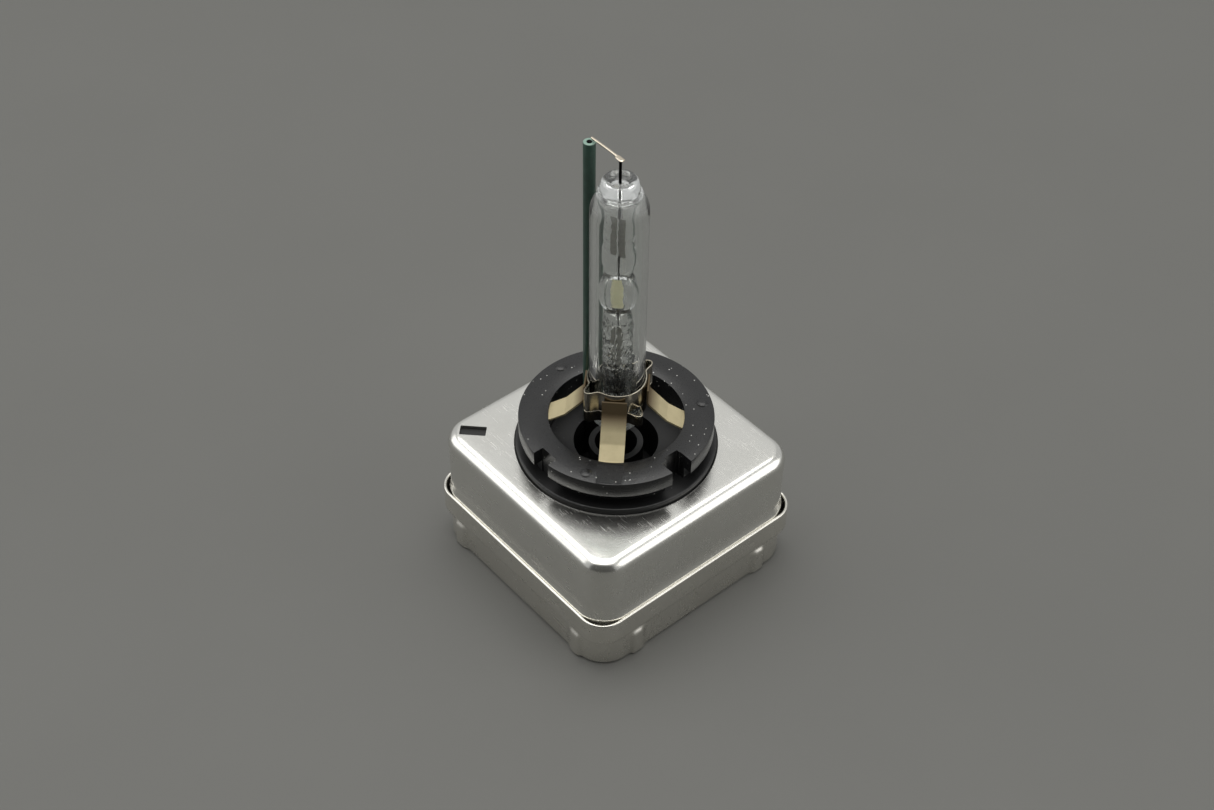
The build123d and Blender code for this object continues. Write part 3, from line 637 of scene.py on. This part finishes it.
def tray_can():
    """The tray: thin rounded rim, upper band with press marks, sloping step, ribbed lower band."""
    loops = []
    inner = TRAY_HALF - SHEET
    inner_r = TRAY_CORNER_R - SHEET
    low_inner = inner - STEP_IN
    low_inner_r = TRAY_LOW_CORNER_R - SHEET
    floor_in = FLOOR + SHEET
    for inset in (18.0, 9.0, 0.4):
        loops.append(square_loop(low_inner - inset, max(low_inner_r - inset, 0.3), floor_in))
    loops.append(square_loop(low_inner, low_inner_r, floor_in + 0.4))
    loops.append(square_loop(low_inner, low_inner_r, TRAY_STEP))
    loops.append(square_loop(inner, inner_r, TRAY_STEP + 0.02))
    loops.append(square_loop(inner, inner_r, TRAY_RIM - 1.0))
    for step in range(9):
        a = radians(180 - 180 * step / 8)
        half = TRAY_HALF - SHEET / 2 + (SHEET / 2) * cos(a)
        corner = TRAY_CORNER_R - SHEET / 2 + (SHEET / 2) * cos(a)
        loops.append(square_loop(half, corner, TRAY_RIM - SHEET / 2 + (SHEET / 2) * sin(a)))
    low = FLOOR + BOTTOM_EDGE_R
    start = TRAY_RIM - SHEET / 2
    steps = 40
    for step in range(1, steps + 1):
        loops.append(tray_wall_loop(start + (low - start) * step / steps))
    for step in range(1, 7):
        a = radians(90 * step / 6)
        loop = tray_wall_loop(low, BOTTOM_EDGE_R * (1 - cos(a)))
        loops.append([(x, y, low - BOTTOM_EDGE_R * sin(a)) for x, y, _ in loop])
    for inset in (3.0, 8.0, 19.0):
        loops.append([(x, y, FLOOR) for x, y, _ in tray_wall_loop(low, inset)])
    points, faces = skin_loops(loops, closed=False)
    cap_ends(points, faces, len(loops[0]))
    mesh = mesh_from("tray_can_drawn", settle(points, 0.015), faces)
    return finish_piece("tray_can_drawn", mesh, TRAY_TIN, ["tray_can"], 40)


# ---------------------------------------------------------------- cap ring


def cap_ring():
    """The 32 mm ring and its neck, with key notches cut through and a shallow patch in front of one strap."""
    profile = [(RING_BORE_R, NECK_BOTTOM), (RING_BORE_R, RING_BOTTOM), (RING_BORE_R, RING_TOP - 0.12)]
    profile += [(RING_BORE_R + 0.04, RING_TOP - 0.04), (RING_BORE_R + 0.12, RING_TOP), (13.5, RING_TOP)]
    profile += [(RING_R - 0.14, RING_TOP), (RING_R - 0.04, RING_TOP - 0.04), (RING_R, RING_TOP - 0.14)]
    profile += [(RING_R, RING_BOTTOM + 0.1), (RING_R - 0.03, RING_BOTTOM + 0.03), (RING_R - 0.1, RING_BOTTOM)]
    profile += [(NECK_R, RING_BOTTOM), (NECK_R, NECK_BOTTOM)]
    points, faces = skin_loops(turned(profile, 288))
    mesh = mesh_from("cap_ring_moulded", points, faces)
    ring = finish_piece("cap_ring_moulded", mesh, RING_POLYMER, ["cap_ring"], 25)
    cutters = []
    for bearing, width, bottom, shift in NOTCHES:
        turn = Matrix.Rotation(radians(bearing), 4, "Z")
        centre = turn @ Vector(((bottom + 20) / 2, shift, -2.9))
        cutters.append(bar((20 - bottom, width, 7.0), centre, bearing, 0.18))
    patch = Matrix.Rotation(radians(STRAP_ANGLE), 4, "Z") @ Vector((PATCH_MIDDLE, 0, RING_TOP + 0.45))
    cutters.append(bar((PATCH_LENGTH, STRAP_W + 0.1, 1.0), patch, STRAP_ANGLE, 0.1))
    cut_away(ring, cutters)
    edge = ring.modifiers.new("broken_edge", "BEVEL")
    edge.width = 0.07 * MM
    edge.segments = 2
    edge.limit_method = "ANGLE"
    edge.angle_limit = radians(50)
    return ring


def ring_boss(number, angle):
    """One reference boss: a low dome, its top in the reference plane."""
    x = BOSS_PITCH_R * cos(radians(angle))
    y = BOSS_PITCH_R * sin(radians(angle))
    profile = [(0.001, 0.0), (0.3, -0.005), (0.55, -0.04), (0.78, -0.12), (0.92, -0.22), (1.0, -0.34)]
    loops = turned(profile, 40)
    loops = [[(px + x, py + y, z) for px, py, z in loop] for loop in loops]
    points, faces = skin_loops(loops, closed=False)
    mesh = mesh_from(f"ring_boss_{number}", points, faces)
    return finish_piece(f"ring_boss_{number}", mesh, RING_POLYMER, None, 60)


# ---------------------------------------------------------------- clamp band


def fold(angle, centres):
    """Height of the band's outward folds at a bearing, 0 to 1."""
    total = 0.0
    for centre in centres:
        off = (angle - centre + 180) % 360 - 180
        total += exp(-(abs(off) / 10.5) ** 2.4)
    return total


def band_strip(name, low, high, centres, top_wave, rows):
    """One height of the spring band: a thin closed strip that follows the glass and folds out."""
    steps = 480
    outer, inner = [], []
    for row in range(rows + 1):
        ring_out, ring_in = [], []
        for i in range(steps):
            angle = 360 * i / steps
            r = BAND_R + LOOP_REACH * fold(angle, centres)
            ahead = BAND_R + LOOP_REACH * fold(angle + 0.5, centres)
            slope = (ahead - r) / (r * radians(0.5))
            lean = 1 / hypot(1, slope)
            a = radians(angle)
            out = (cos(a) * lean + sin(a) * slope * lean, sin(a) * lean - cos(a) * slope * lean)
            wave = top_wave * (0.5 + 0.5 * cos(radians(2 * angle + 30)))
            z = low + (high - wave - low) * row / rows
            x, y = r * cos(a), r * sin(a)
            half = BAND_T / 2
            ring_out.append((x + out[0] * half, y + out[1] * half, z))
            ring_in.append((x - out[0] * half, y - out[1] * half, z))
        outer.append(ring_out)
        inner.append(ring_in)
    points, faces = skin_loops(outer + inner[::-1])
    mesh = mesh_from(name, points, faces)
    stands_for = ["clamp_band"] if high > 6 else None
    piece = finish_piece(name, mesh, SPRING_STEEL, stands_for, 40)
    edge = piece.modifiers.new("rounded_edge", "BEVEL")
    edge.width = 0.05 * MM
    edge.segments = 2
    edge.limit_method = "ANGLE"
    return piece


def clamp_band():
    band_strip("clamp_band_upper", BAND_SLIT + 0.04, BAND_HIGH.z, BAND_LOOPS, 0.25, 5)
    band_strip("clamp_band_lower", BAND_LOW.z, BAND_SLIT - 0.04, LOWER_LOOPS, 0.0, 4)


# ---------------------------------------------------------------- burner


def outer_bulb():
    """Outer glass: straight tube, drawn-in shoulder, and a thick dished neck fused round the upper lead."""
    profile = [(LEG_R + 0.06, 1.3), (3.2, 1.25), (4.1, 1.3), (4.42, 1.5), (BULB_R, 2.2)]
    profile += [(BULB_R, z) for z in (10.0, 20.0, 30.0, 40.0, 41.4)]
    profile += [(4.44, 42.2), (4.25, 43.0), (3.95, 43.7), (3.62, 44.3), (3.46, 44.65), (3.42, 44.9)]
    profile += [(3.36, 45.15), (3.18, 45.35), (3.04, 45.55), (2.98, 45.9), (2.92, 46.3), (2.84, 46.65)]
    profile += [(2.7, 46.98), (2.5, 47.2), (2.2, BULB_HIGH.z), (1.9, 47.24), (1.65, 47.08), (1.45, 46.8)]
    profile += [(1.2, 46.6), (0.75, 46.5), (0.26, 46.5), (0.26, 44.6)]
    profile += [(1.0, 44.55), (1.9, 44.5), (2.5, 44.3), (2.95, 43.9), (3.25, 43.2), (3.42, 42.4)]
    profile += [(3.49, 41.4)]
    profile += [(3.49, z) for z in (40.0, 30.0, 20.0, 10.0, 3.0)]
    profile += [(3.4, 2.5), (3.05, 2.1), (LEG_R + 0.06, 1.9)]
    points, faces = skin_loops(turned(profile, 160))
    mesh = mesh_from("outer_bulb_drawn", points, faces)
    return finish_piece("outer_bulb_drawn", mesh, BULB_GLASS, ["outer_bulb"], 60)


def bulb_foot():
    """The rounded foot of the outer glass, crazed and milky where it was melted onto the inner tube."""
    profile = [(LEG_R + 0.06, BULB_LOW.z), (2.7, -1.64), (3.1, -1.45), (3.65, -1.0), (4.05, -0.35)]
    profile += [(4.32, 0.4), (4.42, 1.1), (4.3, 1.24), (3.2, 1.2), (LEG_R + 0.06, 1.24)]

    def crazed(angle, radius, height):
        rough = noise.noise(Vector((cos(angle) * 4.5, sin(angle) * 4.5, height * 2.5)))
        fine = noise.noise(Vector((cos(angle) * 11, sin(angle) * 11, height * 6)))
        return -abs(rough * 0.22 + fine * 0.12) if radius > 2.6 else 0.0

    points, faces = skin_loops(turned(profile, 160, crazed))
    mesh = mesh_from("bulb_foot_fused", points, faces)
    return finish_piece("bulb_foot_fused", mesh, MILKY_GLASS, None, 50)


def swelling(low, high, r_low, r_top, r_high, steps):
    """A rounded swelling of a tube between two heights."""
    profile = []
    for step in range(1, steps):
        t = step / steps
        r = r_low + (r_high - r_low) * t
        profile.append((r + (r_top - (r_low + r_high) / 2) * sin(pi * t), low + (high - low) * t))
    return profile


def arc_profile():
    """Outer outline of the discharge vessel: legs, swellings and the oval bulb with its drawn-in necks."""
    profile = [(0.26, ARC_LOW.z), (LEG_R - 0.25, ARC_LOW.z), (LEG_R, ARC_LOW.z + 0.25)]
    profile += [(LEG_R, z * 0.25) for z in range(0, 75)]
    profile += swelling(18.5, ARC_Z - ARC_HALF, LEG_R, 2.5, ARC_NECK_R, 12)
    for step in range(0, 33):
        a = radians(-68 + 136 * step / 32)
        r = ARC_NECK_R + (ARC_HIGH.x - ARC_NECK_R) * (cos(a) - cos(radians(68))) / (1 - cos(radians(68)))
        profile.append((r, ARC_Z + ARC_HALF * sin(a) / sin(radians(68))))
    profile += swelling(ARC_Z + ARC_HALF, 36.0, ARC_NECK_R, 2.65, LEG_R, 16)
    profile += [(LEG_R, 36.0 + z * 0.25) for z in range(0, 32)]
    profile += [(LEG_R - 0.1, 44.0), (LEG_R - 0.3, 44.1), (0.26, 44.1)]
    return profile


def pinch_marks(angle, radius, height):
    """Ripples that the pinching jaws leave on the legs; none on the bulb or near the ends."""
    if radius < 1.4:
        return 0.0
    low_leg = smooth_step((23.0 - height) / 2) * smooth_step((height - 0.2) / 1.5)
    high_leg = smooth_step((height - 30.4) / 1.5) * smooth_step((43.5 - height) / 2)
    deep = smooth_step((16.0 - height) / 6)
    near = Vector((cos(angle), sin(angle), 0))
    rough = noise.noise(near * 1.7 + Vector((0, 0, height * 0.8)))
    mid = noise.noise(near * 3.6 + Vector((4, 0, height * 1.9)))
    fine = noise.noise(near * 7.5 + Vector((0, 9, height * 3.6)))
    depth = abs(rough) * 0.30 + abs(mid) * (0.16 + 0.22 * deep) + abs(fine) * (0.06 + 0.14 * deep)
    return -depth * (low_leg + 0.25 * high_leg)


def arc_tube():
    """Quartz vessel: pinched legs, oval bulb, and the cavity as a second skin inside."""
    points, faces = skin_loops(turned(arc_profile(), 160, pinch_marks))
    cavity = []
    for step in range(0, 33):
        a = -pi / 2 + pi * step / 32
        cavity.append((max(0.001, CAVITY_R * cos(a)), ARC_Z + CAVITY_HALF * sin(a)))
    inner_points, inner_faces = skin_loops(turned(cavity, 96), closed=False)
    outer = mesh_from("arc_tube_pinched", points, faces)
    inner = mesh_from("arc_cavity", inner_points, inner_faces)
    bm = bmesh.new()
    bm.from_mesh(inner)
    bmesh.ops.reverse_faces(bm, faces=bm.faces)
    bm.from_mesh(outer)
    bm.to_mesh(outer)
    bm.free()
    bpy.data.meshes.remove(inner)
    return finish_piece("arc_tube_pinched", outer, QUARTZ, ["arc_tube"], 60)


def salt_pool():
    """Dried salt: a thin uneven skin on one side of the cavity wall."""
    loops = []
    for row in range(25):
        z = SALT_LOW + (SALT_HIGH - SALT_LOW) * row / 24
        ring = (CAVITY_R - 0.03) * (1 - (z / (CAVITY_HALF - 0.03)) ** 2) ** 0.5
        edge = SALT_SPREAD + 9 * noise.noise(Vector((row * 0.22, 0, 0)))
        row_out, row_in = [], []
        for i in range(25):
            a = radians(SALT_BEARING - edge + 2 * edge * i / 24)
            thin = 0.04 + 0.10 * (0.5 + noise.noise(Vector((cos(a) * 3, sin(a) * 3, z))))
            row_out.append((ring * cos(a), ring * sin(a), ARC_Z + z))
            row_in.append(((ring - thin) * cos(a), (ring - thin) * sin(a), ARC_Z + z))
        loops.append(row_out + row_in[::-1])
    points, faces = skin_loops(loops, closed=False)
    cap_ends(points, faces, len(loops[0]))
    mesh = mesh_from("salt_pool_skin", points, faces)
    return finish_piece("salt_pool_skin", mesh, HALIDE_SALT, ["salt_pool"], 60)


def ceramic_tube():
    """Glazed insulating tube with softened ends and a bore."""
    x = (CERAMIC_LOW.x + CERAMIC_HIGH.x) / 2
    y = (CERAMIC_LOW.y + CERAMIC_HIGH.y) / 2
    r = (CERAMIC_HIGH.x - CERAMIC_LOW.x) / 2
    bore = 0.42
    low, high = CERAMIC_LOW.z, CERAMIC_HIGH.z
    profile = [(bore, low), (r - 0.1, low), (r, low + 0.1)]
    profile += [(r, low + (high - low - 0.2) * k / 12 + 0.1) for k in range(13)]
    profile += [(r - 0.04, high - 0.04), (r - 0.12, high), (bore + 0.05, high), (bore, high - 0.05)]
    loops = turned(profile, 64)
    loops = [[(px + x, py + y, z) for px, py, z in loop] for loop in loops]
    points, faces = skin_loops(loops)
    mesh = mesh_from("ceramic_tube_glazed", points, faces)
    return finish_piece("ceramic_tube_glazed", mesh, GREEN_CERAMIC, ["ceramic_tube"], 40)


def tube_along(route, radii, steps=20):
    """Loops of a round or flattened bar that follows a route of points."""
    loops = []
    for k, p in enumerate(route):
        a = Vector(route[max(k - 1, 0)])
        b = Vector(route[min(k + 1, len(route) - 1)])
        ahead = (b - a).normalized()
        side = ahead.cross(Vector((0, 0, 1))).normalized()
        up = side.cross(ahead)
        wide, thick = radii[k]
        loop = []
        for i in range(steps):
            t = 2 * pi * i / steps
            loop.append(tuple(Vector(p) + side * wide * cos(t) + up * thick * sin(t)))
        loops.append(loop)
    return loops


def contact_wire():
    """Link from the return wire to the burner's lead, pressed flat where it is welded."""
    low, high = node_box("contact_wire")
    start = Vector((low.x + 0.25, 1.0, 49.85))
    weld = Vector((-0.3, 0.35, 50.5))
    route, radii = [], []
    for k in range(41):
        t = k / 40
        p = start.lerp(weld + Vector((0.65, -0.1, 0.0)), t)
        p.z += 0.10 * sin(pi * t)
        flat = smooth_step((t - 0.76) / 0.06)
        nose = 1 - smooth_step((t - 0.985) / 0.02) * 0.5
        route.append(p)
        radii.append(((0.21 + 0.24 * flat) * nose, (0.21 - 0.07 * flat) * nose))
    loops = tube_along(route, radii)
    points, faces = skin_loops(loops, closed=False)
    cap_ends(points, faces, len(loops[0]))
    mesh = mesh_from("contact_wire_drawn", points, faces)
    return finish_piece("contact_wire_drawn", mesh, NICKEL_WIRE, ["contact_wire"], 50)


# ---------------------------------------------------------------- CAD nodes that keep their shape

KEPT = {
    "socket_base": (BASE_POLYMER, 0.08),
    "holder_strap_front": (STRAP_NICKEL, 0.05),
    "holder_strap_right": (STRAP_NICKEL, 0.05),
    "holder_strap_rear": (STRAP_NICKEL, 0.05),
    "holder_strap_left": (STRAP_NICKEL, 0.05),
    "electrode_lower": (TUNGSTEN, 0.03),
    "electrode_upper": (TUNGSTEN, 0.03),
    "foil_lower": (MOLYBDENUM, 0.0),
    "foil_upper": (MOLYBDENUM, 0.0),
    "lead_lower": (OXIDISED_LEAD, 0.02),
    "lead_upper": (OXIDISED_LEAD, 0.02),
    "return_wire": (OXIDISED_LEAD, 0.05),
    "igniter_housing": (HOUSING_POLYMER, 0.1),
    "potting_layer": (SEALING_GEL, 0.1),
    "circuit_board": (BOARD_LAMINATE, 0.05),
    "connector_shroud": (CONNECTOR_POLYMER, 0.12),
    "transformer_core": (FERRITE, 0.1),
    "coil_bobbin": (BOBBIN_POLYMER, 0.06),
    "primary_winding": (WOUND_COPPER, 0.08),
    "hv_contact": (GAP_STEEL, 0.06),
    "hv_lead": (TINNED_PIN, 0.06),
    "spark_gap_body": (ALUMINA, 0.08),
    "spark_gap_caps": (GAP_STEEL, 0.06),
    "storage_capacitor": (CAPACITOR_COAT, 0.25),
    "charge_resistor": (RESISTOR_COAT, 0.05),
    "resistor_wires": (TINNED_PIN, 0.04),
}
for pin in range(1, 5):
    KEPT[f"connector_pin_{pin}"] = (TINNED_PIN, 0.05)
for chamber in range(1, 5):
    KEPT[f"secondary_winding_{chamber}"] = (WOUND_COPPER, 0.08)


def dress(node, finish, edge_mm):
    """Gives a kept CAD node its finish and, where it has corners, a small broken edge."""
    piece = NODES[node]
    piece.data.materials.clear()
    piece.data.materials.append(finish)
    if edge_mm:
        weld = piece.modifiers.new("weld", "WELD")
        weld.merge_threshold = 0.002 * MM
        edge = piece.modifiers.new("broken_edge", "BEVEL")
        edge.width = edge_mm * MM
        edge.segments = 2
        edge.limit_method = "ANGLE"
        edge.angle_limit = radians(40)
        edge.harden_normals = False


# ---------------------------------------------------------------- floor, light and camera

# degrees, then millimetres, then the lens in millimetres
CAMERA_AZIMUTH = 49.24
CAMERA_ELEVATION = 44.21
CAMERA_ROLL = 0.66
CAMERA_DISTANCE = 301.6
CAMERA_AIM_RIGHT = -1.53
CAMERA_AIM_UP = 1.37
CAMERA_LENS = 54.97


def place_camera():
    """Looks down at the front corner, with the lamp upright and a slight roll."""
    az, el = radians(CAMERA_AZIMUTH), radians(CAMERA_ELEVATION)
    back = Vector((sin(az) * cos(el), -cos(az) * cos(el), sin(el)))
    level = Vector((cos(az), sin(az), 0))
    upright = back.cross(level)
    roll = radians(CAMERA_ROLL)
    right = level * cos(roll) + upright * sin(roll)
    up = upright * cos(roll) - level * sin(roll)
    aim = Vector((0, 0, RING_TOP)) + right * CAMERA_AIM_RIGHT + up * CAMERA_AIM_UP
    lens = bpy.data.cameras.new("studio_camera")
    lens.lens = CAMERA_LENS
    lens.sensor_width = 36
    lens.clip_start = 0.01
    camera = bpy.data.objects.new("studio_camera", lens)
    camera.matrix_world = Matrix((right, up, back)).transposed().to_4x4()
    camera.location = (aim + back * CAMERA_DISTANCE) * MM
    bpy.context.scene.collection.objects.link(camera)
    bpy.context.scene.camera = camera


def soft_box(name, toward, right, up, size, glow):
    """A soft light that faces the lamp: metres toward the camera, to its right and up, and its radiance."""
    az = radians(CAMERA_AZIMUTH)
    rightward = Vector((cos(az), sin(az), 0))
    place = Vector((sin(az), -cos(az), 0)) * toward + rightward * right + Vector((0, 0, up))
    back = place.normalized()
    across = (rightward - back * back.dot(rightward)).normalized()
    light = bpy.data.lights.new(name, "AREA")
    light.shape = "RECTANGLE"
    light.size, light.size_y = size
    light.energy = glow * pi * size[0] * size[1]
    light.color = linear("#fffefb")[:3]
    holder = bpy.data.objects.new(name, light)
    holder.matrix_world = Matrix((across, back.cross(across), back)).transposed().to_4x4()
    holder.location = place
    bpy.context.scene.collection.objects.link(holder)


def studio():
    world = bpy.data.worlds.new("studio_air")
    world.use_nodes = True
    world.node_tree.nodes["Background"].inputs["Color"].default_value = linear("#fbfcfb")
    world.node_tree.nodes["Background"].inputs["Strength"].default_value = 0.48
    bpy.context.scene.world = world
    soft_box("overhead_soft_box", -0.08, -0.06, 0.80, (0.90, 0.82), 2.1)
    soft_box("left_board", -0.15, -0.90, 0.45, (0.8, 0.85), 0.9)
    soft_box("right_board", 0.15, 0.90, 0.45, (0.8, 0.85), 1.1)
    soft_box("back_panel", -0.95, 0.0, 0.80, (1.1, 0.6), 0.12)
    points = [(-1500, -1500, FLOOR), (1500, -1500, FLOOR), (1500, 1500, FLOOR), (-1500, 1500, FLOOR)]
    board = bpy.data.objects.new("floor_board", mesh_from("floor_board", points, [(0, 1, 2, 3)]))
    board.data.materials.append(studio_cloth("studio_floor", "#6a6a67", "#656562", 0.6))
    # a grey curtain in front of the lamp, darker than the sky, for the front faces to mirror
    points = [(0, -1000, -20), (1050, -50, -20), (1050, -50, 1300), (0, -1000, 1300)]
    curtain = bpy.data.objects.new("dark_curtain", mesh_from("dark_curtain", points, [(0, 1, 2, 3)]))
    curtain.data.materials.append(studio_cloth("dark_cloth", "#585856", "#4e4e4c", 0.9))
    for piece in (board, curtain):
        bpy.context.scene.collection.objects.link(piece)
    bpy.context.scene.view_settings.view_transform = "Standard"


def build():
    place_camera()
    studio()
    cover_can()
    tray_can()
    cap_ring()
    for number, angle in enumerate(BOSS_ANGLES, 1):
        ring_boss(number, angle)
    clamp_band()
    outer_bulb()
    bulb_foot()
    arc_tube()
    salt_pool()
    ceramic_tube()
    contact_wire()
    for node, (finish, edge_mm) in KEPT.items():
        dress(node, finish, edge_mm)


build()
